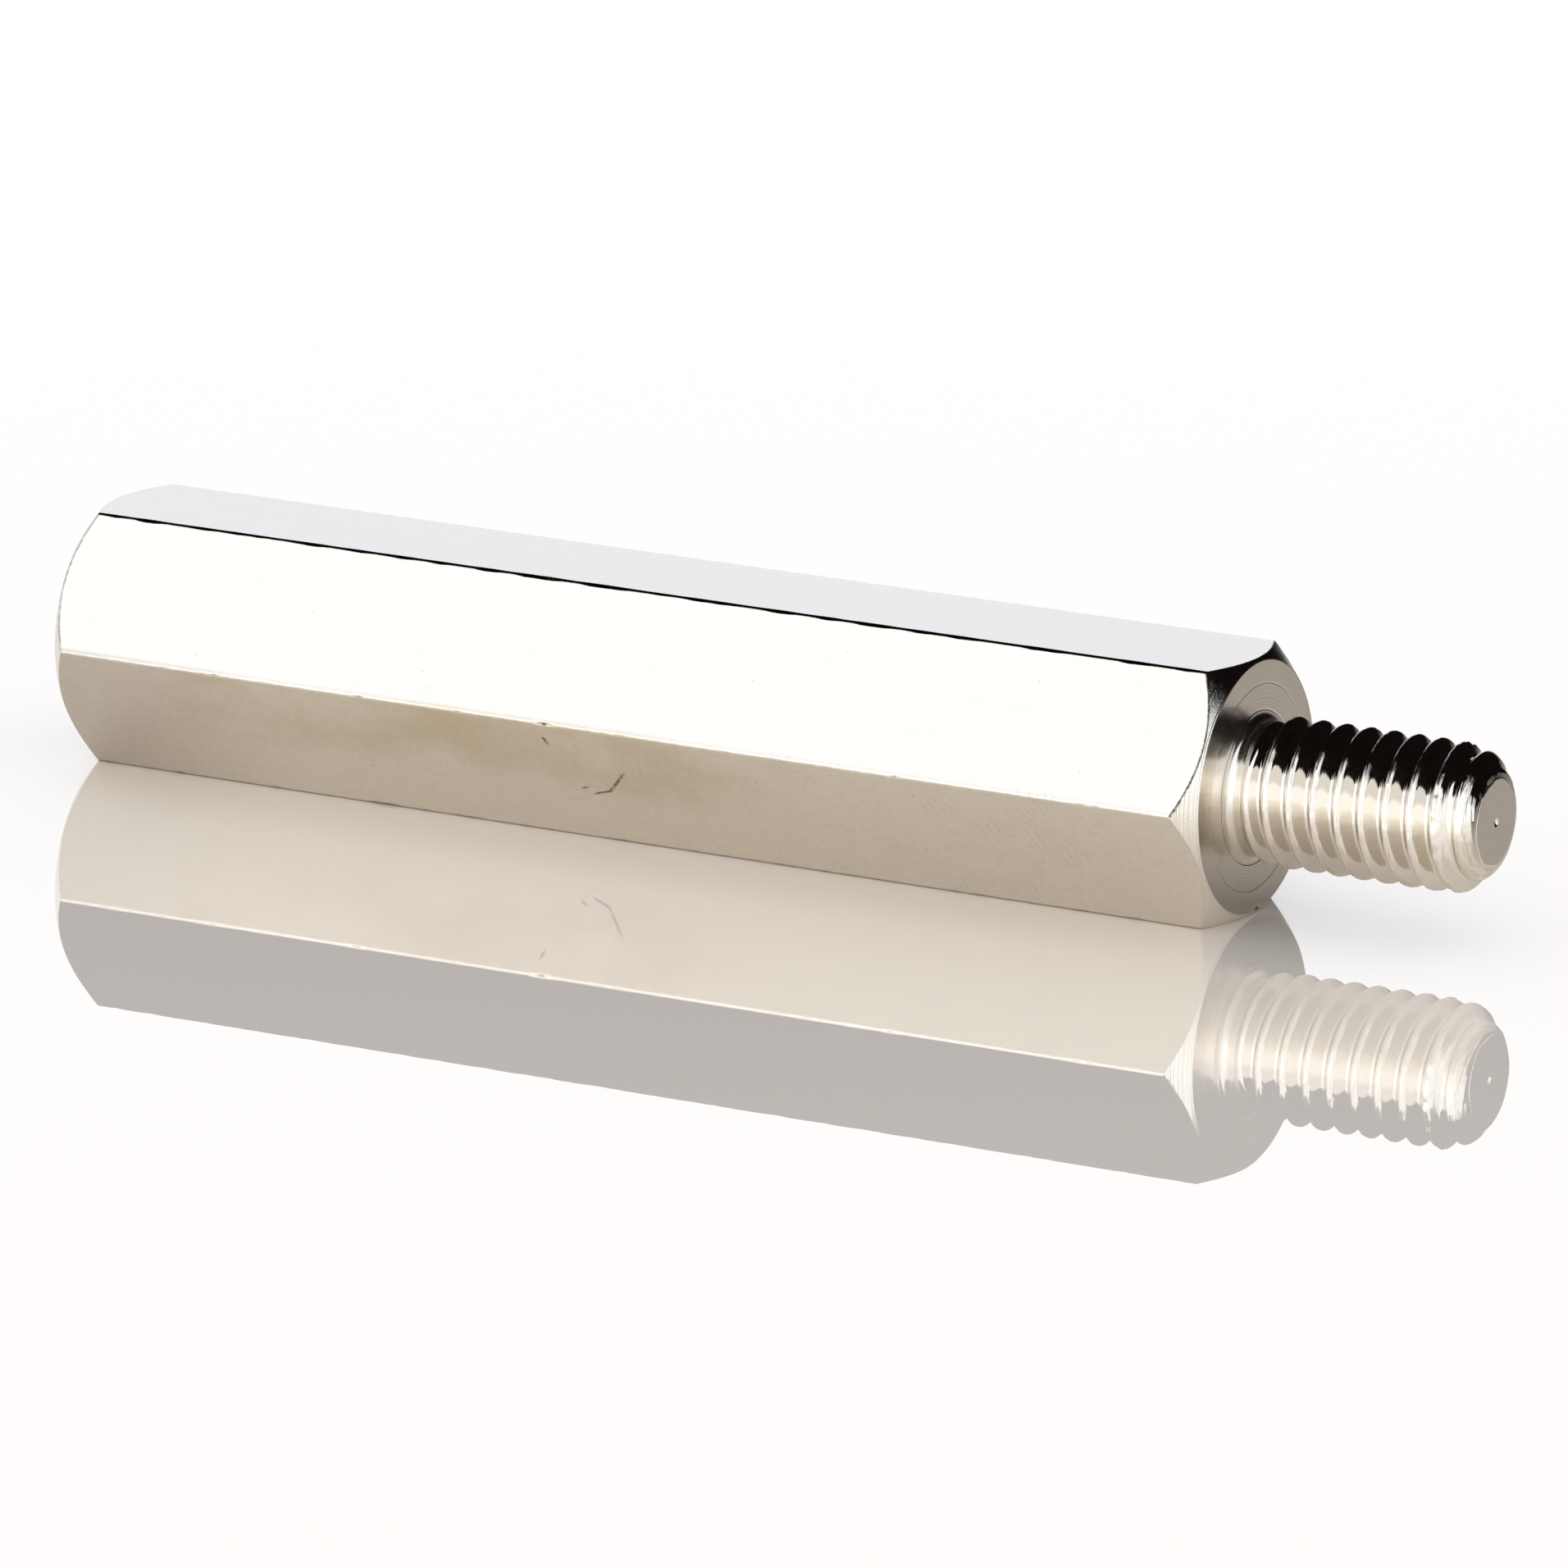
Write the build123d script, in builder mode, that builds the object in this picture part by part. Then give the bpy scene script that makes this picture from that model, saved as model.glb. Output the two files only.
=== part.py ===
from build123d import *
from math import radians, tan
import os

# Male-female hex standoff, turned from one length of drawn brass hexagon bar.
# Millimetres. The origin is the centre of the shoulder face, where the stud leaves the hexagon.
# +X runs along the stud, and +Z is up from the flat that the part lies on.

# Hexagon bar
across_flats = 5.0
body_length = 25.0
bar_edge_radius = 0.08

# Chamfer turned on both ends of the bar, its angle taken from the end face in degrees
chamfer_inside_flats = 0.06
chamfer_angle = 42.0

# Metric coarse thread, the same size on the stud and in the hole
thread_size = 3.0
thread_pitch = 0.5

# Stud
stud_length = 5.0
thread_undersize = 0.11
tip_dome_length = 0.8
tip_radius = 0.87
neck_length = 0.4
neck_relief = 0.16
seat_clearance = 0.005
pip_diameter = 0.18
pip_angle = 90.0

# Tapped hole in the far end
hole_depth = 11.5
drill_point_angle = 118.0
mouth_oversize = 0.2
mouth_angle = 90.0

# Sizes that follow from those above
flat_distance = across_flats / 2
face_radius = flat_distance - chamfer_inside_flats
chamfer_slope = tan(radians(chamfer_angle))
thread_radius = (thread_size - thread_undersize) / 2
neck_radius = thread_radius - neck_relief
neck_fillet = neck_relief + seat_clearance
pip_radius = pip_diameter / 2
pip_depth = pip_radius / tan(radians(pip_angle / 2))
bore_radius = (thread_size - thread_pitch) / 2
mouth_radius = (thread_size + mouth_oversize) / 2
mouth_depth = (mouth_radius - bore_radius) / tan(radians(mouth_angle / 2))
point_depth = bore_radius / tan(radians(drill_point_angle / 2))
far_end = -body_length

# Height at which each chamfer cone has come well clear of the bar's corners
clear_radius = across_flats
clear_run = (clear_radius - face_radius) * chamfer_slope


with BuildPart() as hex_standoff:
    # The drawn bar lies along X with one flat up and one down
    with BuildSketch(Plane.YZ.offset(far_end)) as bar_section:
        RegularPolygon(radius=flat_distance, side_count=6, major_radius=False)
        fillet(bar_section.vertices(), radius=bar_edge_radius)
    extrude(amount=body_length)

    # Both ends are faced and chamfered in the lathe: a cone meets each flat in a shallow arc
    with BuildSketch(Plane.XZ) as turned_outline:
        with BuildLine():
            Polyline(
                (far_end, 0),
                (far_end, face_radius),
                (far_end + clear_run, clear_radius),
                (-clear_run, clear_radius),
                (0, face_radius),
                (0, 0),
                close=True,
            )
        make_face()
    revolve(axis=Axis.X, mode=Mode.INTERSECT)

    # The stud is turned down, with a relieved neck at the shoulder and a domed lead-in at its tip
    with BuildSketch(Plane.XZ) as stud_outline:
        with BuildLine():
            Polyline(
                (stud_length, tip_radius),
                (stud_length, 0),
                (-neck_length, 0),
                (-neck_length, neck_radius),
                (neck_length, neck_radius),
                (neck_length + neck_relief, thread_radius),
                (stud_length - tip_dome_length, thread_radius),
            )
            TangentArc(
                (stud_length - tip_dome_length, thread_radius),
                (stud_length, tip_radius),
                tangent=(1, 0),
            )
        make_face()
    revolve(axis=Axis.X)

    # A fillet blends the neck into the shoulder face. It ends just outside the thread, so that a
    # plate whose hole passes the thread seats flat on the shoulder.
    shoulder_circles = (
        hex_standoff.edges()
        .filter_by(GeomType.CIRCLE)
        .filter_by_position(Axis.X, -neck_fillet, neck_fillet)
    )
    fillet(shoulder_circles.sort_by(SortBy.RADIUS)[0], radius=neck_fillet)

    # The parting tool leaves a small pip hole in the middle of the tip
    with BuildSketch(Plane.XZ) as pip_outline:
        with BuildLine():
            Polyline(
                (stud_length, 0),
                (stud_length, pip_radius),
                (stud_length - pip_depth, 0),
                close=True,
            )
        make_face()
    revolve(axis=Axis.X, mode=Mode.SUBTRACT)

    # The hole is drilled and countersunk from the far end, and its wall is the tap drill's
    with BuildSketch(Plane.XZ) as hole_outline:
        with BuildLine():
            Polyline(
                (far_end, 0),
                (far_end, mouth_radius),
                (far_end + mouth_depth, bore_radius),
                (far_end + hole_depth, bore_radius),
                (far_end + hole_depth + point_depth, 0),
                close=True,
            )
        make_face()
    revolve(axis=Axis.X, mode=Mode.SUBTRACT)

hex_standoff.part.label = "hex_standoff"

os.makedirs("parts", exist_ok=True)
export_step(hex_standoff.part, "parts/hex_standoff.step")
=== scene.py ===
import bpy
import numpy as np
from collections import namedtuple
from math import cos, hypot, pi, radians, sin, tan
from mathutils import Matrix, Vector


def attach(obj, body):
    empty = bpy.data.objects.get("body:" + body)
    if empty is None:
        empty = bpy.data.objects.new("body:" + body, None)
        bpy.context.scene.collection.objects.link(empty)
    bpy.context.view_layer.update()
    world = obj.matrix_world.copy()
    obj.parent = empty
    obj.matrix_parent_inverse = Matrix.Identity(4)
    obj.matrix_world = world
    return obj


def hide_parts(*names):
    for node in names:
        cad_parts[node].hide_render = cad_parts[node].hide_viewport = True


# Hex standoff in nickel-plated brass, lying on a pale glossy floor.
# The shapes are worked out in millimetres and scaled to metres at the end.

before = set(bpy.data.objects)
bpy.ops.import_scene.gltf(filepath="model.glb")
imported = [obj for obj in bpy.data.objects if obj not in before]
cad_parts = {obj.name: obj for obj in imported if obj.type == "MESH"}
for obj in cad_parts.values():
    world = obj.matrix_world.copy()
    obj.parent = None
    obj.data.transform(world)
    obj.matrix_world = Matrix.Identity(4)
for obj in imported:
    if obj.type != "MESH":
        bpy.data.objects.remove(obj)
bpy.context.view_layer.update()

MM = 0.001

# Sizes of the part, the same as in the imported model
ACROSS_FLATS = 5.0
BODY_LENGTH = 25.0
STUD_LENGTH = 5.0
BAR_EDGE_RADIUS = 0.08
FACE_RADIUS = 2.44
CHAMFER_SLOPE = tan(radians(42))
PITCH = 0.5
CREST_RADIUS = 1.445
NECK_RADIUS = 1.285
NECK_FILLET = 0.165
TIP_RADIUS = 0.87
TIP_DOME_LENGTH = 0.8
PIP_RADIUS = 0.09
PIP_DEPTH = 0.05
BORE_RADIUS = 1.25
MOUTH_RADIUS = 1.6
HOLE_DEPTH = 11.5
POINT_DEPTH = BORE_RADIUS / tan(radians(59))
FLAT_DISTANCE = ACROSS_FLATS / 2

# Finer shapes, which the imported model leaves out
ROOT_RADIUS = 1.13
FLANK_SLOPE = tan(radians(30))
CREST_NARROWING = 0.008
RIDGE_SHARPNESS = 8
THREAD_START = 0.095
TAP_MAJOR_RADIUS = 1.5
TAPPED_DEPTH = 10.0
TURNED_EDGE_RADIUS = 0.022
RIM_RADIUS = 0.05
TIP_EDGE = 0.035
TIP_EDGE_LENGTH = 0.03
MOUTH_EDGE_RADIUS = 0.03
SOFT_JOIN = 0.02

# How uneven and worn the stud is, in mm. Pairs are the X between which a change comes in.
CREST_SURPLUS = 0.008
CREST_WEAR = 0.006
END_CREST_WEAR = 0.016
END_WEAR_RUN = (3.75, 4.2)
FLANK_UNEVENNESS = 0.002
FLANK_SHIFT = 0.7
FIRST_TURN_RUN = (0.22, 0.62)
DOME_WEAR = 0.006
DOME_WEAR_RUN = (4.3, 4.8)
LEAD_IN_DEPTH = 0.12
LEAD_IN_RUN = (4.3, 4.7)
LEAD_IN_GROOVE = 0.09
GROOVE_START_RUN = (4.3, 4.6)
GROOVE_END_RUN = (4.8, 4.96)
TIP_UNEVENNESS = 0.012
TIP_WEAR = 0.015

# Fineness of the mesh
SIDES = 6
COLUMNS = 144
COLUMNS_PER_SIDE = COLUMNS // SIDES
BAR_ROWS = 165


# Camera, fitted to the corner points of the hexagon in the photograph
VIEW_AZIMUTH = radians(28.179)
VIEW_ELEVATION = radians(14.656)
VIEW_ROLL = radians(0.815)
VIEW_DISTANCE = 259.98
VIEW_SHIFT_RIGHT = -8.9109
VIEW_SHIFT_UP = 0.0599
FOCAL_PIXELS = 16816.4
IMAGE_PIXELS = 1912
SENSOR_WIDTH = 36.0


def make_camera():
    back = Vector(
        (
            sin(VIEW_AZIMUTH) * cos(VIEW_ELEVATION),
            -cos(VIEW_AZIMUTH) * cos(VIEW_ELEVATION),
            sin(VIEW_ELEVATION),
        )
    )
    level = Vector((0, 0, 1)).cross(back).normalized()
    upright = back.cross(level)
    right = level * cos(VIEW_ROLL) + upright * sin(VIEW_ROLL)
    up = upright * cos(VIEW_ROLL) - level * sin(VIEW_ROLL)
    place = back * VIEW_DISTANCE + right * VIEW_SHIFT_RIGHT + up * VIEW_SHIFT_UP
    lens = bpy.data.cameras.new("camera")
    lens.sensor_width = SENSOR_WIDTH
    lens.lens = SENSOR_WIDTH * FOCAL_PIXELS / IMAGE_PIXELS
    lens.clip_start = 0.01
    lens.clip_end = 20.0
    camera = bpy.data.objects.new("camera", lens)
    turn = Matrix((right, up, back)).transposed()
    camera.matrix_world = Matrix.Translation(place * MM) @ turn.to_4x4()
    bpy.context.scene.collection.objects.link(camera)
    bpy.context.scene.camera = camera


make_camera()


# The zones of the skin, each with its own material
TIP, THREAD, SHOULDER, CHAMFER, FLAT, BORE = range(6)


class Skin:
    """A closed skin of rings round the X axis, from the pip in the tip to the bottom of the hole."""

    def __init__(self):
        self.points = []
        self.marks = []
        self.faces = []
        self.zones = []
        self.count = 0

    def add(self, points, marks=0.0):
        """New points, each with a mark from 0 to 1 for its wear, its dirt and its painted shade."""
        first = self.count
        self.points.append(np.asarray(points, float))
        self.marks.append(np.broadcast_to(marks, len(points)))
        self.count += len(points)
        return np.arange(first, self.count)

    def join(self, one, two, zone):
        """Quads between two rings, where one point may stand for a whole ring."""
        one = np.broadcast_to(one, COLUMNS)
        two = np.broadcast_to(two, COLUMNS)
        one_next = np.roll(one, -1)
        two_next = np.roll(two, -1)
        for quad in zip(one, one_next, two_next, two):
            self.put(quad, zone)

    def put(self, corners, zone):
        """A face without its repeated corners, or none where fewer than three are left."""
        kept = [c for i, c in enumerate(corners) if c != corners[i - 1]]
        if len(kept) > 2:
            self.faces.append(kept)
            self.zones.append(zone)

    def grow(self, last, points, zone, marks=0.0):
        """A new ring, joined to the last one."""
        now = self.add(points, marks)
        self.join(last, now, zone)
        return now


def bar_section():
    """The hexagon with rounded corners, as Y and Z of each column, starting at a corner on +Y."""
    corner_steps = 3
    centre = (FLAT_DISTANCE - BAR_EDGE_RADIUS) / cos(pi / SIDES)
    half_flat = (FLAT_DISTANCE - BAR_EDGE_RADIUS) * tan(pi / SIDES)
    arc = np.arange(0, corner_steps + 1) * pi / SIDES / corner_steps

    # Columns across a flat, with one close to each corner to keep the flat's shading level
    close = 0.015
    inset = 0.09
    inner = COLUMNS_PER_SIDE - 2 * corner_steps - 3
    spread = np.linspace(-1, 1, inner) * (half_flat - inset)
    along = np.concatenate([[-half_flat + close], spread, [half_flat - close]])

    def corner(turn, angles):
        return [
            (
                centre * cos(turn) + BAR_EDGE_RADIUS * cos(turn + a),
                centre * sin(turn) + BAR_EDGE_RADIUS * sin(turn + a),
            )
            for a in angles
        ]

    def flat(middle):
        return [
            (
                FLAT_DISTANCE * cos(middle) - s * sin(middle),
                FLAT_DISTANCE * sin(middle) + s * cos(middle),
            )
            for s in along
        ]

    points = []
    for side in range(SIDES):
        turn = side * 2 * pi / SIDES
        points += corner(turn, arc)
        points += flat(turn + pi / SIDES)
        points += corner(turn + 2 * pi / SIDES, -arc[:0:-1])
    return np.array(points)


SECTION = bar_section()
BAR_RADIUS = np.hypot(SECTION[:, 0], SECTION[:, 1])
BAR_TURNS = np.unwrap(np.arctan2(SECTION[:, 1], SECTION[:, 0]))
ROUND_TURNS = np.arange(COLUMNS) * 2 * pi / COLUMNS


def ring(x, radius, turns):
    """Points of one ring, each value a number or one number for each column."""
    x = np.broadcast_to(x, COLUMNS)
    radius = np.broadcast_to(radius, COLUMNS)
    return np.stack([x, radius * np.cos(turns), radius * np.sin(turns)], axis=1)


def smooth_step(value, low, high):
    t = np.clip((value - low) / (high - low), 0, 1)
    return t * t * (3 - 2 * t)


def soft_min(one, two):
    """The smaller of two radii, blended where they cross."""
    share = np.clip(0.5 + (one - two) / (2 * SOFT_JOIN), 0, 1)
    return one + (two - one) * share - SOFT_JOIN * share * (1 - share)


def soft_max(one, two):
    return -soft_min(-one, -two)


def ripple(rng, longest, shortest, count):
    """A seeded sum of sines, about 1 high, as a function of a position in mm."""
    waves = np.exp(rng.uniform(np.log(shortest), np.log(longest), count))
    offsets = rng.uniform(0, 2 * pi, count)
    weights = rng.normal(0, 1, count) / np.sqrt(count)

    def value(s):
        s = np.asarray(s, float)[..., None]
        return (weights * np.sin(2 * pi * s / waves + offsets)).sum(-1)

    return value


rng = np.random.default_rng(3)
crest_ripple = ripple(rng, 1.2, 0.12, 24)
flank_ripple = ripple(rng, 2.5, 0.5, 12)
tip_ripple = ripple(rng, 1.5, 0.2, 14)
edge_ripples = [ripple(rng, 2.0, 0.25, 24) for _ in range(SIDES)]


def rounded(before, corner, after, radius, steps):
    """Points of a small arc that rounds a corner, each (x, r) with r one value per column. The
    points before and after the corner only give the directions."""
    before, corner, after = (
        np.stack([np.broadcast_to(x, COLUMNS), np.broadcast_to(r, COLUMNS)])
        for x, r in (before, corner, after)
    )
    back = before - corner
    on = after - corner
    back = back / np.hypot(*back)
    on = on / np.hypot(*on)
    half_angle = np.arccos(np.clip((back * on).sum(0), -1, 1)) / 2
    middle = back + on
    middle = middle / np.hypot(*middle)
    centre = corner + middle * radius / np.sin(half_angle)
    start = corner + back * radius / np.tan(half_angle) - centre
    end = corner + on * radius / np.tan(half_angle) - centre
    sweep = pi - 2 * half_angle
    points = []
    for t in np.linspace(0, 1, steps + 1):
        weight_a = np.sin((1 - t) * sweep) / np.sin(sweep)
        weight_b = np.sin(t * sweep) / np.sin(sweep)
        points.append(centre + start * weight_a + end * weight_b)
    return points


# Threads
def ridge(x, turns, crest, root, start):
    """Radius of a right-hand 60 degree thread with rounded crests and roots, and how far each
    place is from a crest, 1 being the middle of a root."""
    from_crest = (x - start - turns / (2 * pi) * PITCH) / PITCH
    from_crest = np.abs(from_crest - np.round(from_crest)) * PITCH
    middle = (crest + root) / 2
    half = (crest - root) / 2
    straight = (PITCH / 4 - CREST_NARROWING - from_crest) / FLANK_SLOPE
    over = 1 + np.abs(straight / half) ** RIDGE_SHARPNESS
    clipped = straight / over ** (1 / RIDGE_SHARPNESS)
    return middle + clipped, from_crest / (PITCH / 2)


def tip_dome(x):
    """Radius of the domed lead-in, an arc from the thread's outside to the tip face."""
    fall = CREST_RADIUS - TIP_RADIUS
    arc = (TIP_DOME_LENGTH**2 + fall**2) / (2 * fall)
    on = np.clip(x - (STUD_LENGTH - TIP_DOME_LENGTH), 0, TIP_DOME_LENGTH)
    return CREST_RADIUS - arc + np.sqrt(arc**2 - on**2)


def stud_radius(x, turns):
    """The stud's thread, with a faded first turn, ragged crests and ridges over the lead-in."""
    outside = CREST_RADIUS + CREST_SURPLUS
    thread, off_crest = ridge(x, turns, outside, ROOT_RADIUS, THREAD_START)

    # Ragged crests and slightly uneven flanks, both followed along the helix
    near_crest = 1 - smooth_step(off_crest, 0.05, 0.4)
    turn = np.round((x - THREAD_START) / PITCH - turns / (2 * pi))
    wound = (turns + turn * 2 * pi) * CREST_RADIUS
    ragged = np.clip(1 + crest_ripple(wound), 0, None)
    wear = CREST_WEAR + END_CREST_WEAR * smooth_step(x, *END_WEAR_RUN)
    uneven = flank_ripple(wound + off_crest * FLANK_SHIFT)
    thread = thread - near_crest * wear * ragged
    thread = thread + (1 - near_crest) * FLANK_UNEVENNESS * uneven
    grown = smooth_step(x, *FIRST_TURN_RUN)
    radius = NECK_RADIUS + (thread - NECK_RADIUS) * grown

    # The worn dome that cuts the thread off, itself grooved so that the last ridges run out on it
    worn = DOME_WEAR * smooth_step(x, *DOME_WEAR_RUN) * (1 + tip_ripple(turns * CREST_RADIUS))
    dome = tip_dome(x) - DOME_WEAR - worn
    groove = smooth_step(x, *GROOVE_START_RUN) * (1 - smooth_step(x, *GROOVE_END_RUN))
    dome = dome - LEAD_IN_GROOVE * groove * smooth_step(off_crest, 0.15, 0.75)
    shallow = smooth_step(x, *LEAD_IN_RUN)
    radius = radius + (np.maximum(radius, dome - LEAD_IN_DEPTH) - radius) * shallow
    return np.minimum(soft_min(dome, radius), outside)


def hole_radius(x, turns):
    """The tapped hole's thread in the drilled hole's wall, from the countersink inwards."""
    depth = x + BODY_LENGTH
    thread, _ = ridge(x, turns, BORE_RADIUS, TAP_MAJOR_RADIUS, 0.0)
    fade = 1 - smooth_step(depth, TAPPED_DEPTH - PITCH, TAPPED_DEPTH + PITCH)
    radius = BORE_RADIUS + (thread - BORE_RADIUS) * fade
    countersink = MOUTH_RADIUS - depth
    return soft_max(countersink, radius)


# Rows of the mesh in each pitch, as shares of the pitch from a crest
STUD_CREST_ROWS = (-0.12, -0.08, -0.04, 0.0, 0.04, 0.08, 0.12)
STUD_ROOT_ROWS = (0.19, 0.28, 0.36, 0.42, 0.46, 0.5, 0.54, 0.58, 0.64, 0.72, 0.81)
HOLE_ROWS = (-0.1, 0.0, 0.1, 0.25, 0.4, 0.5, 0.6, 0.75)

# Marks for wear on the crests, by distance in pitches, and on the lead-in, by X
CREST_MARK = (0.09, 0.14)
LEAD_IN_MARK = 0.3
LEAD_IN_MARK_RUN = (4.15, 4.4)


def thread_zone(skin, ends, x_ends, radius_at, rows, start, zone):
    """Rows that follow the helix between two rings. Where a row passes a ring, it ends on it."""
    first, last = ends
    x_first, x_last = x_ends
    low, high = min(x_ends), max(x_ends)
    low_ring, high_ring = (first, last) if x_first < x_last else (last, first)
    rows_per_pitch = len(rows)
    crest = start / PITCH
    wholes = np.arange(np.floor(low / PITCH) - 2, np.ceil(high / PITCH) + 2)
    levels = (wholes[:, None] + (crest + np.array(rows))[None, :]).ravel()
    x = (levels[:, None] + ROUND_TURNS[None, :] / (2 * pi)) * PITCH

    # Points beyond a ring, or all but on it, are the ring's own
    margin = 0.004
    ids = np.full(x.shape, -1)
    below = x <= low + margin
    above = x >= high - margin
    columns = np.broadcast_to(np.arange(COLUMNS), x.shape)
    ids[below] = low_ring[columns[below]]
    ids[above] = high_ring[columns[above]]

    # New points between the rings
    inside = ids < 0
    x_inside = x[inside]
    turns = np.broadcast_to(ROUND_TURNS, x.shape)[inside]
    radius = radius_at(x_inside, turns)
    from_crest = np.broadcast_to(levels[:, None], x.shape)[inside] - crest
    from_crest = np.abs(from_crest - np.round(from_crest))
    marks = 1 - smooth_step(from_crest, *CREST_MARK)
    marks = np.maximum(marks, LEAD_IN_MARK * smooth_step(x_inside, *LEAD_IN_MARK_RUN))
    points = np.stack([x_inside, radius * np.cos(turns), radius * np.sin(turns)], axis=1)
    ids[inside] = skin.add(points, marks)

    # The last column joins the first one of the same row, one pitch on
    outward = 1 if x_first < x_last else -1
    for row in range(len(levels) - 1 - rows_per_pitch):
        for column in range(COLUMNS):
            if column < COLUMNS - 1:
                next_row, next_column = row, column + 1
            else:
                next_row, next_column = row + rows_per_pitch, 0
            quad = (
                ids[row, column],
                ids[next_row, next_column],
                ids[next_row + 1, next_column],
                ids[row + 1, column],
            )
            skin.put(quad[::outward], zone)


# Nicks along the bar's edges: number of the edge, place along X, length and depth in mm
NICKS = (
    (2, -14.52, 0.22, 0.060),
    (2, -13.45, 0.30, 0.035),
    (2, -15.9, 0.15, 0.030),
    (3, -13.8, 0.16, 0.050),
    (2, -10.7, 0.12, 0.025),
    (2, -5.4, 0.10, 0.025),
    (3, -6.2, 0.12, 0.020),
    (1, -9.0, 0.20, 0.040),
    (4, -18.0, 0.18, 0.040),
    (5, -4.0, 0.22, 0.045),
    (0, -20.5, 0.20, 0.040),
)
NICK_REACH = 4

# How rough each edge is in mm, from which height of its ripple up, and how far from the ends
EDGE_ROUGHNESS = (0.014, 0.014, 0.02, 0.012, 0.012, 0.014)
ROUGH_ABOVE = 0.2
ROUGH_RUN = (0.42, 0.7)

# How much dirt and painted shade lie in each edge, and where the chamfer meets each flat, from 0 to
# 1
EDGE_DIRT_AND_SHADE = (0.5, 0.5, 1.0, 0.3, 0.25, 0.5)
EDGE_DIRT_AND_SHADE_REACH = 4.5
CHAMFER_DIRT_AND_SHADE = (0.4, 0.5, 0.9, 0.3, 0.3, 0.4)
FULL_DIRT_AND_SHADE_WEAR = 0.05

# A small dark chip in the shoulder's rim, at this angle from +Y
CHIP_TURN = radians(274)
CHIP_SPREAD = radians(2.0)
CHIP_DEPTH = 0.03
CHIP_INSET = 0.04


def rim_chip():
    """1 at the chip, falling to 0 on either side."""
    away = np.abs((BAR_TURNS - CHIP_TURN + pi) % (2 * pi) - pi)
    return np.clip(1.8 - away / CHIP_SPREAD, 0, 1)


def chamfer_dirt_and_shade():
    """Dirt and painted shade where the chamfer meets each flat, from one edge of the hexagon to the
    next.
    """
    return np.repeat(CHAMFER_DIRT_AND_SHADE, COLUMNS_PER_SIDE)


def near_edge(edge, reach):
    """1 on the column at an edge of the hexagon, falling to 0 some columns away."""
    away = np.arange(COLUMNS) - edge * COLUMNS_PER_SIDE
    away = np.abs((away + COLUMNS // 2) % COLUMNS - COLUMNS // 2)
    return np.clip(1 - away / reach, 0, 1)


def bar_wear(x):
    """How far each column is worn in from the bar's clean section, at one X."""
    wear = np.zeros(COLUMNS)
    inside = smooth_step(np.minimum(-x, BODY_LENGTH + x), *ROUGH_RUN)
    for edge in range(SIDES):
        near = near_edge(edge, NICK_REACH)
        rough = np.clip(edge_ripples[edge](x) - ROUGH_ABOVE, 0, None)
        wear = np.maximum(wear, near * EDGE_ROUGHNESS[edge] * rough)
        for nick_edge, place, length, depth in NICKS:
            if nick_edge == edge:
                nick = np.exp(-(((x - place) / length * 2) ** 2))
                wear = np.maximum(wear, near * depth * nick)
    return wear * inside


def edge_dirt_and_shade(wear):
    """Dirt and painted shade in the edges, more where they are worn."""
    dirt_and_shade = np.zeros(COLUMNS)
    for edge in range(SIDES):
        dirt_and_shade = np.maximum(dirt_and_shade, near_edge(edge, EDGE_DIRT_AND_SHADE_REACH) * EDGE_DIRT_AND_SHADE[edge])
    return np.clip(dirt_and_shade + wear / FULL_DIRT_AND_SHADE_WEAR, 0, 1)


def add_tip(skin):
    """The pip, the tip face and its rounded edge."""
    last = skin.add([(STUD_LENGTH - PIP_DEPTH, 0, 0)])
    for share in (0.25, 0.5, 0.7, 0.85, 0.95, 1.0, 1.08):
        drop = PIP_DEPTH * (1 - min(share, 1) ** 2)
        points = ring(STUD_LENGTH - drop, PIP_RADIUS * share, ROUND_TURNS)
        last = skin.grow(last, points, TIP)
    wobble = TIP_UNEVENNESS * tip_ripple(ROUND_TURNS * CREST_RADIUS)
    tip_flat = TIP_RADIUS - TIP_EDGE - TIP_WEAR
    for share in (0.25, 0.5, 0.75, 0.97, 1.0):
        reach = PIP_RADIUS + (tip_flat - PIP_RADIUS) * share
        last = skin.grow(last, ring(STUD_LENGTH, reach + wobble * share, ROUND_TURNS), TIP)
    for degrees in (20, 40, 60):
        a = radians(degrees)
        reach = tip_flat + TIP_EDGE * sin(a) + wobble
        x = STUD_LENGTH - TIP_EDGE * (1 - cos(a))
        last = skin.grow(last, ring(x, reach, ROUND_TURNS), TIP)
    return last


def add_stud(skin, last):
    """The threaded stud, down to the fillet at its neck."""
    tip_end = STUD_LENGTH - TIP_EDGE_LENGTH
    radius = stud_radius(np.full(COLUMNS, tip_end), ROUND_TURNS)
    tip_ring = skin.grow(last, ring(tip_end, radius, ROUND_TURNS), THREAD)
    neck_ring = skin.add(ring(NECK_FILLET, NECK_RADIUS, ROUND_TURNS))
    ends = (tip_ring, neck_ring)
    x_ends = (tip_end, NECK_FILLET)
    rows = STUD_CREST_ROWS + STUD_ROOT_ROWS
    thread_zone(skin, ends, x_ends, stud_radius, rows, THREAD_START, THREAD)
    return neck_ring


def add_shoulder(skin, last):
    """The fillet and the shoulder face, where the columns move over to those of the bar."""
    for a in np.linspace(0, pi / 2, 9)[1:]:
        x = NECK_FILLET * (1 - sin(a))
        reach = NECK_RADIUS + NECK_FILLET * (1 - cos(a))
        last = skin.grow(last, ring(x, reach, ROUND_TURNS), SHOULDER)
    face_start = NECK_RADIUS + NECK_FILLET
    steps = 12
    for i in range(1, steps):
        share = i / steps
        reach = face_start + (FACE_RADIUS - face_start) * share
        turns = ROUND_TURNS + (BAR_TURNS - ROUND_TURNS) * smooth_step(share, 0, 0.9)
        last = skin.grow(last, ring(0, reach, turns), SHOULDER)
    return last


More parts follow.
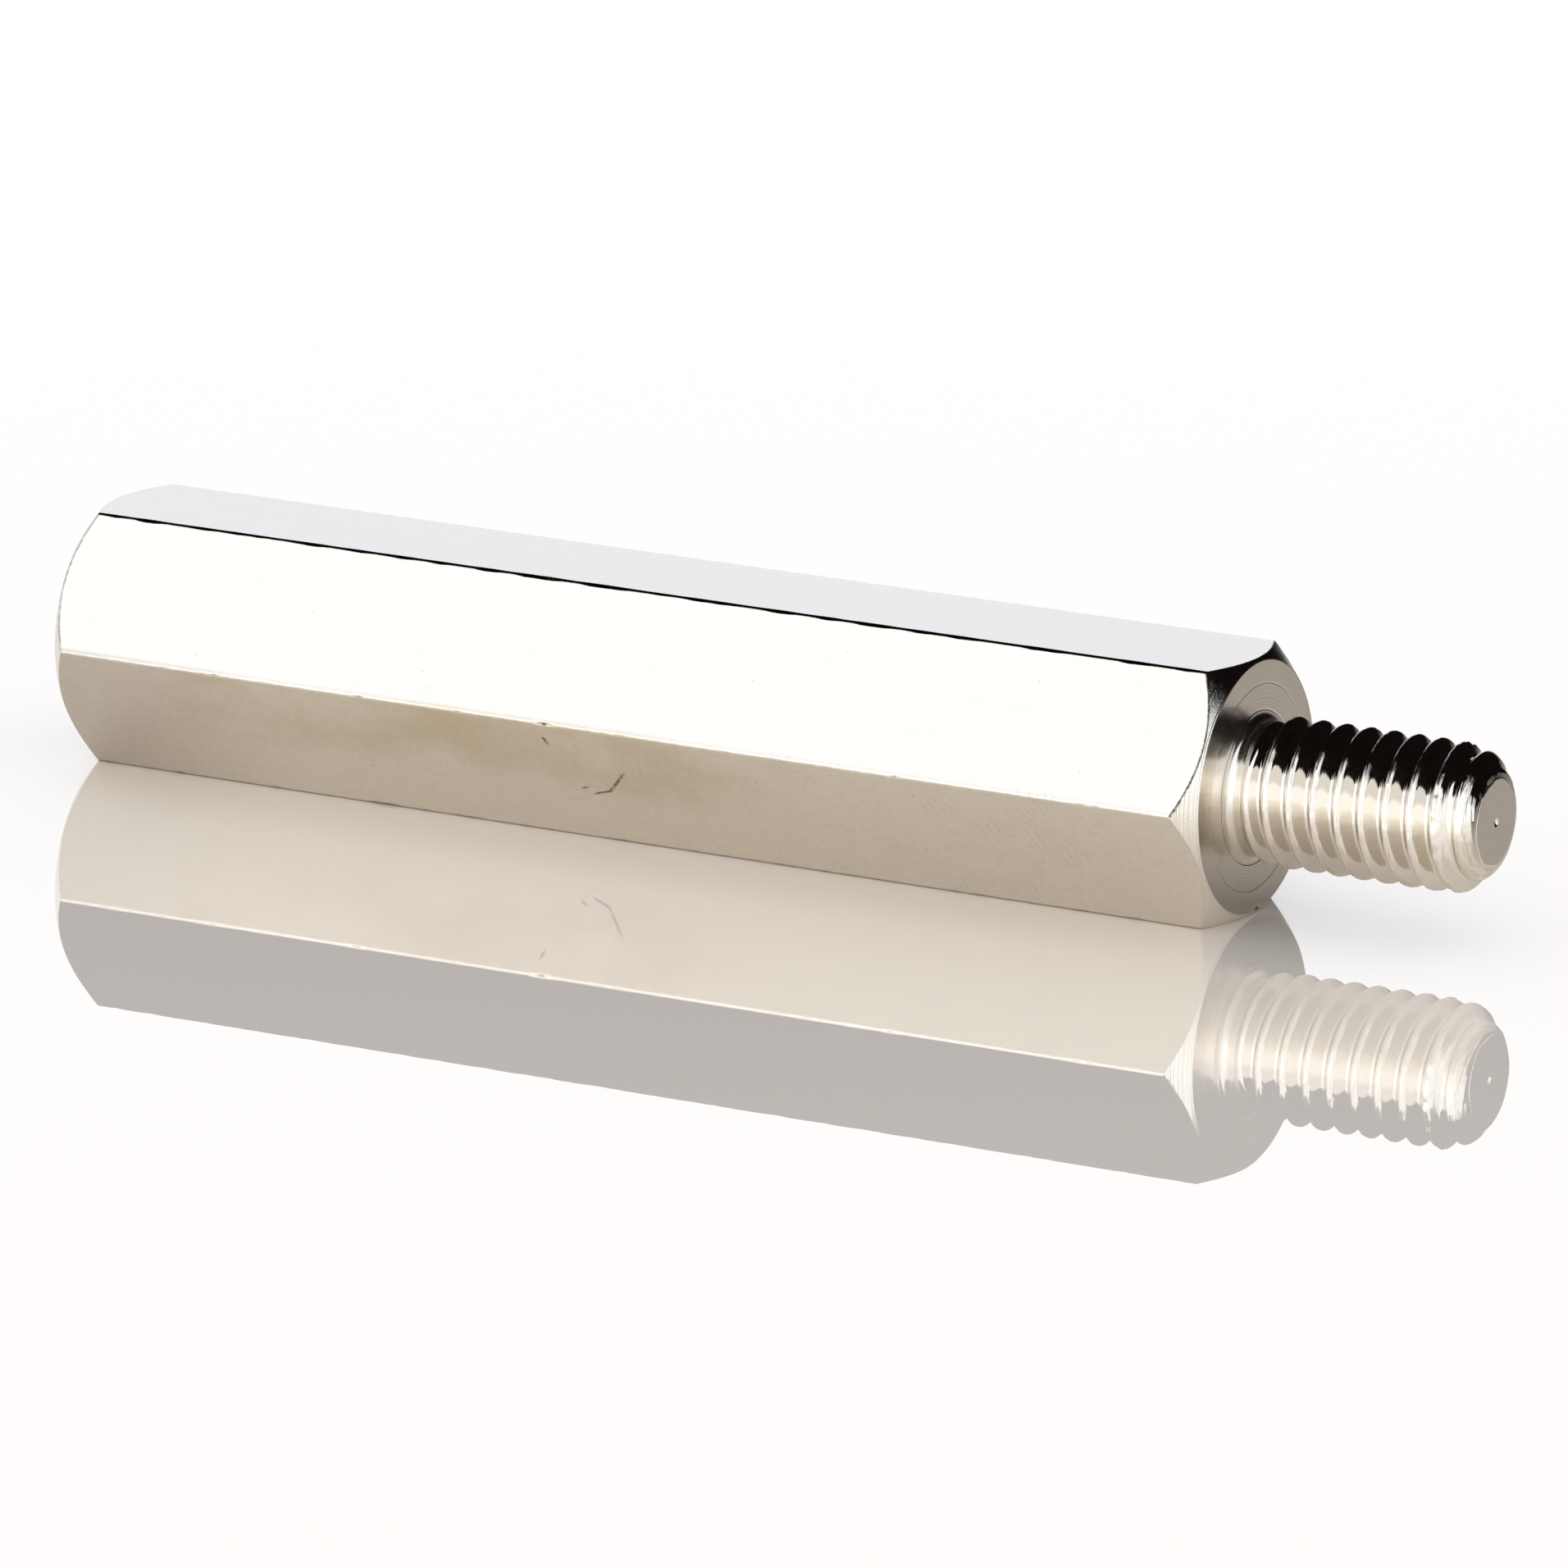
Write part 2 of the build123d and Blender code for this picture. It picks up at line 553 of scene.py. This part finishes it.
def add_bar(skin, last):
    """The rim, the chamfer and the flats, and the same mirrored at the far end."""
    drop = (BAR_RADIUS - FACE_RADIUS) * CHAMFER_SLOPE
    face_edge = (0, FACE_RADIUS)
    flat_edge = (-drop, BAR_RADIUS)
    face_arc = rounded((0, 1.0), face_edge, flat_edge, RIM_RADIUS, 5)
    bar_arc = rounded(face_edge, flat_edge, (-10, BAR_RADIUS), TURNED_EDGE_RADIUS, 4)
    across = bar_arc[0] - face_arc[-1]
    cone = [face_arc[-1] + across * s for s in np.linspace(0, 1, 8)[1:]]

    # Near end
    chip = rim_chip()
    for x, radius in face_arc:
        points = ring(x - CHIP_DEPTH * chip, radius - CHIP_INSET * chip, BAR_TURNS)
        last = skin.grow(last, points, SHOULDER, chip)
    for x, radius in cone[:-1]:
        last = skin.grow(last, ring(x, radius, BAR_TURNS), CHAMFER)
    for x, radius in [cone[-1]] + bar_arc[1:]:
        last = skin.grow(last, ring(x, radius, BAR_TURNS), CHAMFER, chamfer_dirt_and_shade())

    # Flats, as rows of X and of dirt and painted shade. Two close rows keep the dirt and painted
    # shade beside the chamfer a thin line, and a third one lies between them and the even rows of
    # the middle.
    near = bar_arc[-1][0]
    dirt_and_shade_row = near - 0.008
    clean_row = near - 0.03
    third_row = near * 0.4 - 0.27
    near_rows = [(dirt_and_shade_row, chamfer_dirt_and_shade()), (clean_row, 0.0), (third_row, 0.0)]
    middle_rows = [(x, 0.0) for x in np.linspace(-0.5, -BODY_LENGTH + 0.5, BAR_ROWS)]
    far_rows = [(-BODY_LENGTH - x, dirt_and_shade) for x, dirt_and_shade in near_rows[::-1]]
    far_rows.append((-BODY_LENGTH - near, 0.0))
    for x, dirt_and_shade in near_rows + middle_rows + far_rows:
        wear = bar_wear(x)
        dirt_and_shade = np.maximum(edge_dirt_and_shade(wear), dirt_and_shade)
        last = skin.grow(last, ring(x, BAR_RADIUS - wear, BAR_TURNS), FLAT, dirt_and_shade)

    # Far end
    for x, radius in bar_arc[-2::-1]:
        points = ring(-BODY_LENGTH - x, radius, BAR_TURNS)
        last = skin.grow(last, points, CHAMFER, chamfer_dirt_and_shade())
    for x, radius in cone[-2::-1] + [face_arc[-1]]:
        last = skin.grow(last, ring(-BODY_LENGTH - x, radius, BAR_TURNS), CHAMFER)
    for x, radius in face_arc[-2::-1]:
        last = skin.grow(last, ring(-BODY_LENGTH - x, radius, BAR_TURNS), SHOULDER)
    return last


def add_hole(skin, last):
    """The far face, the countersink, the tapped hole and its drilled point."""
    far_face = -BODY_LENGTH
    mouth_arc = rounded(
        (far_face, 2.0),
        (far_face, MOUTH_RADIUS),
        (far_face + 1, MOUTH_RADIUS - 1),
        MOUTH_EDGE_RADIUS,
        3,
    )
    mouth = mouth_arc[0][1]
    steps = 10
    for i in range(1, steps):
        share = i / steps
        reach = FACE_RADIUS + (mouth - FACE_RADIUS) * share
        turns = BAR_TURNS + (ROUND_TURNS - BAR_TURNS) * smooth_step(share, 0.1, 1)
        last = skin.grow(last, ring(far_face, reach, turns), SHOULDER)
    for x, radius in mouth_arc:
        last = skin.grow(last, ring(x, radius, ROUND_TURNS), BORE)
    tapped_end = far_face + TAPPED_DEPTH + PITCH
    inner_ring = skin.add(ring(tapped_end, BORE_RADIUS, ROUND_TURNS))
    ends = (last, inner_ring)
    x_ends = (mouth_arc[-1][0][0], tapped_end)
    thread_zone(skin, ends, x_ends, hole_radius, HOLE_ROWS, 0.0, BORE)
    last = inner_ring
    hole_end = far_face + HOLE_DEPTH
    for share in (0.0, 0.5):
        points = ring(hole_end + POINT_DEPTH * share, BORE_RADIUS * (1 - share), ROUND_TURNS)
        last = skin.grow(last, points, BORE)
    skin.grow(last, [(hole_end + POINT_DEPTH, 0, 0)], BORE)


def build_skin():
    skin = Skin()
    last = add_tip(skin)
    last = add_stud(skin, last)
    last = add_shoulder(skin, last)
    last = add_bar(skin, last)
    add_hole(skin, last)
    return skin


def make_piece(skin):
    points = np.concatenate(skin.points) * MM
    mesh = bpy.data.meshes.new("standoff")
    mesh.from_pydata(points.tolist(), [], skin.faces)
    mesh.update()
    mesh.polygons.foreach_set("material_index", np.array(skin.zones, np.int32))
    mesh.polygons.foreach_set("use_smooth", np.ones(len(skin.faces), bool))
    marks = mesh.attributes.new("mark", "FLOAT", "POINT")
    marks.data.foreach_set("value", np.concatenate(skin.marks))
    piece = bpy.data.objects.new("standoff", mesh)
    bpy.context.scene.collection.objects.link(piece)
    return piece


def weight_normals(mesh):
    """Each point's normal leans to its larger faces, so that flats stay flat beside roundings."""
    areas = np.zeros(len(mesh.polygons))
    mesh.polygons.foreach_get("area", areas)
    normals = np.zeros(len(mesh.polygons) * 3)
    mesh.polygons.foreach_get("normal", normals)
    normals = normals.reshape(-1, 3)
    loops = np.zeros(len(mesh.loops), np.int64)
    mesh.loops.foreach_get("vertex_index", loops)
    totals = np.zeros(len(mesh.polygons), np.int64)
    mesh.polygons.foreach_get("loop_total", totals)
    owner = np.repeat(np.arange(len(mesh.polygons)), totals)
    summed = np.zeros((len(mesh.vertices), 3))
    np.add.at(summed, loops, normals[owner] * areas[owner, None])
    summed /= np.linalg.norm(summed, axis=1)[:, None]
    mesh.normals_split_custom_set_from_vertices(summed.tolist())


# Node helpers. Any value may be a number, a colour or another node's output.
def new_material(name):
    material = bpy.data.materials.new(name)
    material.use_nodes = True
    tree = material.node_tree
    tree.nodes.clear()
    return material, tree


def node(tree, kind, **settings):
    made = tree.nodes.new(kind)
    for name, value in settings.items():
        setattr(made, name, value)
    return made


def wire(tree, source, target):
    if isinstance(source, (int, float, tuple)):
        target.default_value = source
    else:
        tree.links.new(source, target)


def calc(tree, operation, *values):
    made = node(tree, "ShaderNodeMath", operation=operation)
    for value, socket in zip(values, made.inputs):
        wire(tree, value, socket)
    return made.outputs[0]


def product(tree, *values):
    result = values[0]
    for value in values[1:]:
        result = calc(tree, "MULTIPLY", result, value)
    return result


def weighted_sum(tree, values, weights):
    result = 0.0
    for value, weight in zip(values, weights):
        result = calc(tree, "MULTIPLY_ADD", value, weight, result)
    return result


def between(tree, value, low, high, to_low=0.0, to_high=1.0):
    """A smooth change from one value to another while the input goes from low to high."""
    made = node(tree, "ShaderNodeMapRange", interpolation_type="SMOOTHSTEP")
    wire(tree, value, made.inputs["Value"])
    made.inputs["From Min"].default_value = low
    made.inputs["From Max"].default_value = high
    made.inputs["To Min"].default_value = to_low
    made.inputs["To Max"].default_value = to_high
    return made.outputs["Result"]


def mix_colour(tree, share, one, two):
    # The mix node has its colour sockets as inputs 6 and 7 and output 2
    made = node(tree, "ShaderNodeMix", data_type="RGBA")
    wire(tree, share, made.inputs["Factor"])
    wire(tree, one, made.inputs[6])
    wire(tree, two, made.inputs[7])
    return made.outputs[2]


def combined(tree, *values):
    made = node(tree, "ShaderNodeCombineXYZ")
    for value, socket in zip(values, made.inputs):
        wire(tree, value, socket)
    return made.outputs[0]


def stretched(tree, scale):
    """Object coordinates in mm, stretched by scale."""
    coordinates = node(tree, "ShaderNodeTexCoord").outputs["Object"]
    mapping = node(tree, "ShaderNodeMapping")
    mapping.inputs["Scale"].default_value = [s / MM for s in scale]
    tree.links.new(coordinates, mapping.inputs["Vector"])
    return mapping.outputs["Vector"]


def noise_along(tree, vector, detail, rough):
    made = node(tree, "ShaderNodeTexNoise")
    made.inputs["Scale"].default_value = 1.0
    made.inputs["Detail"].default_value = detail
    made.inputs["Roughness"].default_value = rough
    tree.links.new(vector, made.inputs["Vector"])
    return made.outputs["Fac"]


def noise(tree, scale, detail, rough):
    """Noise whose scale is about the number of blotches in a mm along X, Y and Z."""
    return noise_along(tree, stretched(tree, scale), detail, rough)


def bump(tree, height, distance, normal=None):
    made = node(tree, "ShaderNodeBump")
    made.inputs["Strength"].default_value = 1.0
    made.inputs["Distance"].default_value = distance * MM
    wire(tree, height, made.inputs["Height"])
    if normal is not None:
        tree.links.new(normal, made.inputs["Normal"])
    return made.outputs["Normal"]


def position(tree):
    """X, Y and Z on the part in mm."""
    coordinates = node(tree, "ShaderNodeTexCoord").outputs["Object"]
    parts = node(tree, "ShaderNodeSeparateXYZ")
    tree.links.new(coordinates, parts.inputs[0])
    return [calc(tree, "DIVIDE", part, MM) for part in parts.outputs]


def mark(tree):
    """The mesh's own marks for wear, dirt and painted shade, from 0 to 1."""
    return node(tree, "ShaderNodeAttribute", attribute_name="mark").outputs["Fac"]


NICKEL = (0.72, 0.672, 0.598, 1)
STAINED = (0.60, 0.52, 0.39, 1)
# Dark brown for dirt, pits, specks and scratches, also used as painted shade along the edges and at
# the far end of the lower front flat
BROWN_DIRT_AND_SHADE = (0.10, 0.072, 0.05, 1)


def finish_material(material, tree, colour, roughness, normal):
    shader = node(tree, "ShaderNodeBsdfPrincipled")
    shader.inputs["Metallic"].default_value = 1.0
    wire(tree, colour, shader.inputs["Base Color"])
    wire(tree, roughness, shader.inputs["Roughness"])
    wire(tree, normal, shader.inputs["Normal"])
    output = node(tree, "ShaderNodeOutputMaterial")
    tree.links.new(shader.outputs[0], output.inputs["Surface"])
    return material


def add_dirt_and_shade(tree, colour):
    """Brown dirt, burrs and painted shade where the mesh is marked, broken up along the edge."""
    broken = between(tree, noise(tree, (5, 14, 14), 3, 0.65), 0.36, 0.56)
    core = product(tree, between(tree, mark(tree), 0.55, 0.95), 0.9)
    fringe = product(tree, between(tree, mark(tree), 0.1, 0.9), broken)
    return mix_colour(tree, calc(tree, "MAXIMUM", core, fringe), colour, BROWN_DIRT_AND_SHADE)


# The front flat that faces down: how far out its surface lies along its normal, where its stains
# start and end along X, where painted shade greys its far end, and where the drawing die left
# chatter on it
LOWER_FRONT = (2.38, 2.47)
STAIN_START = (-23.5, -20.5)
STAIN_END = (-11.0, -8.0)
STAIN_HEIGHT = (-2.0, -0.8)
FAR_END_SHADE_RUN = (-25.0, -19.5)
CHATTER_START = (-10.0, -8.0)
CHATTER_END = (-3.0, -1.0)
CHATTER_STEP = 0.17
CHATTER_SLANT = 0.7

# Scratches on it: X and Z of both ends, and the width
SCRATCHES = (
    ((-13.14, -1.47), (-12.72, -1.34), 0.035),
    ((-12.76, -1.36), (-12.30, -0.87), 0.04),
    ((-13.40, -1.38), (-13.22, -1.33), 0.03),
    ((-13.92, -0.30), (-13.84, -0.46), 0.05),
)


def stroke(tree, x, z, start, end, width):
    """1 along a straight scratch, given by X and Z of its ends, and 0 beside it."""
    length = hypot(end[0] - start[0], end[1] - start[1])
    ahead = ((end[0] - start[0]) / length, (end[1] - start[1]) / length)
    along = weighted_sum(tree, (x, z), ahead)
    across = weighted_sum(tree, (x, z), (-ahead[1], ahead[0]))
    first = start[0] * ahead[0] + start[1] * ahead[1]
    middle = -start[0] * ahead[1] + start[1] * ahead[0]
    off = calc(tree, "ABSOLUTE", calc(tree, "SUBTRACT", across, middle))
    beyond = calc(tree, "ABSOLUTE", calc(tree, "SUBTRACT", along, first + length / 2))
    return product(
        tree,
        between(tree, off, width * 0.3, width, 1.0, 0.0),
        between(tree, beyond, length * 0.4, length * 0.55, 1.0, 0.0),
    )


def stain_and_shade_colour(tree, x, z, lower):
    """Soft brown stains on the lower front flat, faint streaks along the bar, mottling, and painted
    shade that greys its far end.
    """
    cloud = between(tree, noise(tree, (0.3, 0.6, 0.6), 4, 0.6), 0.3, 0.66, 0.15, 0.95)
    upper_half = between(tree, z, *STAIN_HEIGHT)
    started = between(tree, x, *STAIN_START)
    ended = between(tree, x, *STAIN_END, 1.0, 0.25)
    stain = product(tree, cloud, upper_half, ended, started)
    stain = product(tree, calc(tree, "MAXIMUM", stain, 0.2), lower)
    streaks = between(tree, noise(tree, (0.22, 7, 7), 3, 0.6), 0.45, 0.75)
    stain = calc(tree, "MAXIMUM", stain, product(tree, streaks, 0.08))
    colour = mix_colour(tree, stain, NICKEL, STAINED)

    # Painted shade, greyer towards the far end, and a fine satin mottling
    far_end_shade = product(tree, between(tree, x, *FAR_END_SHADE_RUN, 0.22, 0.0), lower)
    mottle = between(tree, noise(tree, (8, 10, 10), 4, 0.7), 0.35, 0.7)
    mottle = product(tree, mottle, lower, 0.08)
    return mix_colour(tree, calc(tree, "ADD", far_end_shade, mottle), colour, BROWN_DIRT_AND_SHADE)


def marked_colour(tree, x, z, lower, colour):
    """Specks all over, and scratches on the lower front flat."""
    specks = product(tree, between(tree, noise(tree, (7, 11, 11), 2, 0.5), 0.75, 0.8), 0.4)
    colour = mix_colour(tree, specks, colour, BROWN_DIRT_AND_SHADE)
    scratched = 0.0
    for start, end, width in SCRATCHES:
        scratched = calc(tree, "MAXIMUM", scratched, stroke(tree, x, z, start, end, width))
    uneven = between(tree, noise(tree, (16, 16, 16), 2, 0.6), 0.3, 0.5)
    return mix_colour(tree, product(tree, scratched, lower, uneven, 0.85), colour, BROWN_DIRT_AND_SHADE)


def chatter(tree, x, z, lower):
    """Slanting waves across the lower front flat, and how strongly they show at each place."""
    slant = calc(tree, "MULTIPLY_ADD", z, CHATTER_SLANT, x)
    swing = calc(tree, "MULTIPLY_ADD", noise(tree, (1.5, 1.5, 1.5), 2, 0.5), 0.35, slant)
    wave = calc(tree, "SINE", calc(tree, "MULTIPLY", swing, 2 * pi / CHATTER_STEP))
    here = product(
        tree,
        between(tree, x, *CHATTER_START),
        between(tree, x, *CHATTER_END, 1.0, 0.2),
        lower,
        between(tree, noise(tree, (1.0, 2.0, 2.0), 2, 0.5), 0.4, 0.65),
    )
    return wave, here


def flat_material():
    material, tree = new_material("nickel_flat")
    x, y, z = position(tree)
    outwards = weighted_sum(tree, (y, z), (-sin(radians(60)), -cos(radians(60))))
    lower = between(tree, outwards, *LOWER_FRONT)
    colour = stain_and_shade_colour(tree, x, z, lower)
    colour = marked_colour(tree, x, z, lower, colour)
    colour = add_dirt_and_shade(tree, colour)
    wave, here = chatter(tree, x, z, lower)
    lines = product(tree, between(tree, wave, -0.3, 1.0), here, 0.07)
    colour = mix_colour(tree, lines, colour, BROWN_DIRT_AND_SHADE)

    # Drawn lines along the bar, slow waves, a fine grain and the chatter
    grain = noise(tree, (3, 26, 26), 4, 0.6)
    roughness = between(tree, grain, 0.3, 0.7, 0.08, 0.13)
    normal = bump(tree, noise(tree, (0.3, 24, 24), 3, 0.6), 0.0005)
    normal = bump(tree, noise(tree, (0.7, 1.0, 1.0), 2, 0.5), 0.002, normal)
    normal = bump(tree, noise(tree, (18, 18, 18), 2, 0.6), 0.00025, normal)
    normal = bump(tree, product(tree, wave, here), 0.0012, normal)
    return finish_material(material, tree, colour, roughness, normal)


def thread_material():
    material, tree = new_material("nickel_thread")
    x, y, z = position(tree)

    # Fine drawn-out lines that follow the helix, on the crests and over the lead-in
    turn = calc(tree, "DIVIDE", calc(tree, "ARCTAN2", z, y), 2 * pi)
    pitches = calc(tree, "SUBTRACT", calc(tree, "DIVIDE", x, PITCH), turn)
    lines_per_pitch = 20.0
    breaks_per_mm = 2.2
    track = combined(
        tree,
        calc(tree, "MULTIPLY", pitches, lines_per_pitch),
        calc(tree, "MULTIPLY", y, breaks_per_mm),
        calc(tree, "MULTIPLY", z, breaks_per_mm),
    )
    lines = noise_along(tree, track, 3.0, 0.5)
    on_crest = between(tree, mark(tree), 0.0, 0.8)

    # Brown in some of the lines, and pits, most of them on the crests
    brown = product(tree, between(tree, lines, 0.5, 0.62), on_crest, 0.8)
    colour = mix_colour(tree, brown, NICKEL, STAINED)
    speckle = noise(tree, (22, 22, 22), 3, 0.6)
    share = between(tree, mark(tree), 0.0, 1.0, 0.12, 0.7)
    pits = product(tree, between(tree, speckle, 0.66, 0.74), share)
    colour = mix_colour(tree, pits, colour, BROWN_DIRT_AND_SHADE)

    roughness = between(tree, speckle, 0.3, 0.75, 0.05, 0.09)
    normal = bump(tree, product(tree, lines, on_crest), 0.013)
    normal = bump(tree, noise(tree, (9, 9, 9), 3, 0.6), 0.0006, normal)
    return finish_material(material, tree, colour, roughness, normal)


# Grooves that turning left in the faces: radius, width and depth in mm
FACE_GROOVES = (
    (1.99, 0.016, 0.006),
    (1.80, 0.012, 0.0010),
    (1.72, 0.012, 0.0014),
    (1.64, 0.014, 0.0010),
    (1.58, 0.012, 0.0014),
    (1.48, 0.022, 0.010),
    (0.55, 0.012, 0.0006),
)
RINGS_PER_MM = 22.0


def turned_material(name, ring_depth, grain_depth, rough_low, rough_high, grooves=()):
    """Nickel on a turned surface, with fine rings round the axis. Depths are in mm."""
    material, tree = new_material(name)
    x, y, z = position(tree)
    squared = calc(tree, "ADD", calc(tree, "MULTIPLY", y, y), calc(tree, "MULTIPLY", z, z))
    radius = calc(tree, "SQRT", squared)
    profile = combined(
        tree,
        calc(tree, "MULTIPLY", radius, RINGS_PER_MM),
        calc(tree, "MULTIPLY", x, RINGS_PER_MM),
    )
    rings = noise_along(tree, profile, 3.0, 0.5)
    faint = product(tree, between(tree, noise(tree, (1.5, 1.5, 1.5), 3, 0.6), 0.5, 0.8), 0.3)
    colour = add_dirt_and_shade(tree, mix_colour(tree, faint, NICKEL, STAINED))
    grain = noise(tree, (24, 24, 24), 3, 0.6)
    roughness = between(tree, grain, 0.3, 0.7, rough_low, rough_high)
    normal = bump(tree, rings, ring_depth)
    normal = bump(tree, grain, grain_depth, normal)
    for groove, width, depth in grooves:
        off = calc(tree, "ABSOLUTE", calc(tree, "SUBTRACT", radius, groove))
        normal = bump(tree, between(tree, off, 0.0, width), depth, normal)
    return finish_material(material, tree, colour, roughness, normal)


standoff = make_piece(build_skin())
weight_normals(standoff.data)
face_material = turned_material("nickel_face", 0.0012, 0.0004, 0.16, 0.22, FACE_GROOVES)
materials = {
    TIP: face_material,
    THREAD: thread_material(),
    SHOULDER: face_material,
    CHAMFER: turned_material("nickel_chamfer", 0.02, 0.004, 0.06, 0.1),
    FLAT: flat_material(),
    BORE: turned_material("nickel_bore", 0.002, 0.0008, 0.15, 0.25),
}
for zone in sorted(materials):
    standoff.data.materials.append(materials[zone])
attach(standoff, "root")
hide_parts("hex_standoff")


# Floor: pale and glossy, more of a mirror the lower it is looked at
FLOOR_COLOUR = (0.95, 0.89, 0.84, 1)
FLOOR_GLOSS_COLOUR = (1.0, 0.985, 0.93, 1)
FLOOR_MIRROR_POWER = 2.4
FLOOR_SIZE = 4.0


def make_floor():
    material, tree = new_material("floor")
    weight = node(tree, "ShaderNodeLayerWeight")
    weight.inputs["Blend"].default_value = 0.5
    share = calc(tree, "POWER", weight.outputs["Facing"], FLOOR_MIRROR_POWER)
    pale = node(tree, "ShaderNodeBsdfDiffuse")
    pale.inputs["Color"].default_value = FLOOR_COLOUR
    mirror = node(tree, "ShaderNodeBsdfGlossy")
    mirror.inputs["Roughness"].default_value = 0.0
    mirror.inputs["Color"].default_value = FLOOR_GLOSS_COLOUR
    mixed = node(tree, "ShaderNodeMixShader")
    tree.links.new(share, mixed.inputs[0])
    tree.links.new(pale.outputs[0], mixed.inputs[1])
    tree.links.new(mirror.outputs[0], mixed.inputs[2])
    output = node(tree, "ShaderNodeOutputMaterial")
    tree.links.new(mixed.outputs[0], output.inputs["Surface"])
    half = FLOOR_SIZE / 2
    level = -FLAT_DISTANCE * MM
    corners = [
        (-half, -half, level),
        (half, -half, level),
        (half, half, level),
        (-half, half, level),
    ]
    mesh = bpy.data.meshes.new("floor")
    mesh.from_pydata(corners, [], [(0, 1, 2, 3)])
    floor = bpy.data.objects.new("floor", mesh)
    floor.data.materials.append(material)
    bpy.context.scene.collection.objects.link(floor)


make_floor()


# Studio, as gloss sees it: a wide bright field in front, brighter still in its low part, a dimmer
# one low down behind on the left, and dark elsewhere. Each later field lies over those before it.
# Azimuth is that of the field's middle, from +X towards +Y, and all angles are in degrees.
Field = namedtuple("Field", "azimuth half_width lowest highest soft_edge colour")
FIELDS = (
    Field(-80, 89, -5, 50, 2, (1.42, 1.50, 1.64, 1)),
    Field(-100, 65, -5, 25, 5, (2.0, 2.1, 2.3, 1)),
    Field(150, 41, -5, 22, 2, (1.07, 1.10, 1.22, 1)),
)
DARK = (0.006, 0.005, 0.005, 1)
WHITE = (1.0, 1.0, 1.0, 1)


def make_world():
    world = bpy.data.worlds.new("studio")
    bpy.context.scene.world = world
    world.use_nodes = True
    world.cycles.sampling_method = "NONE"
    tree = world.node_tree
    tree.nodes.clear()
    direction = node(tree, "ShaderNodeTexCoord").outputs["Generated"]

    def dot(vector):
        made = node(tree, "ShaderNodeVectorMath", operation="DOT_PRODUCT")
        tree.links.new(direction, made.inputs[0])
        made.inputs[1].default_value = vector
        return made.outputs["Value"]

    def fade(value, edge, soft, to_low, to_high):
        return between(tree, value, edge - soft, edge + soft, to_low, to_high)

    elevation = calc(tree, "DEGREES", calc(tree, "ARCSINE", dot((0, 0, 1))))
    colour = DARK
    for field in FIELDS:
        a = radians(field.azimuth)
        ahead = dot((cos(a), sin(a), 0))
        aside = dot((-sin(a), cos(a), 0))
        away = calc(tree, "ARCTAN2", aside, ahead)
        away = calc(tree, "DEGREES", calc(tree, "ABSOLUTE", away))
        mask = product(
            tree,
            fade(away, field.half_width, field.soft_edge, 1.0, 0.0),
            fade(elevation, field.lowest, field.soft_edge, 0.0, 1.0),
            fade(elevation, field.highest, field.soft_edge, 1.0, 0.0),
        )
        colour = mix_colour(tree, mask, colour, field.colour)

    # White light for diffuse surfaces, such as the floor, and a white background
    path = node(tree, "ShaderNodeLightPath")
    colour = mix_colour(tree, path.outputs["Is Diffuse Ray"], colour, WHITE)
    colour = mix_colour(tree, path.outputs["Is Camera Ray"], colour, WHITE)
    background = node(tree, "ShaderNodeBackground")
    tree.links.new(colour, background.inputs["Color"])
    background.inputs["Strength"].default_value = 1.0
    output = node(tree, "ShaderNodeOutputWorld")
    tree.links.new(background.outputs[0], output.inputs["Surface"])


make_world()

bpy.context.scene.view_settings.view_transform = "Standard"
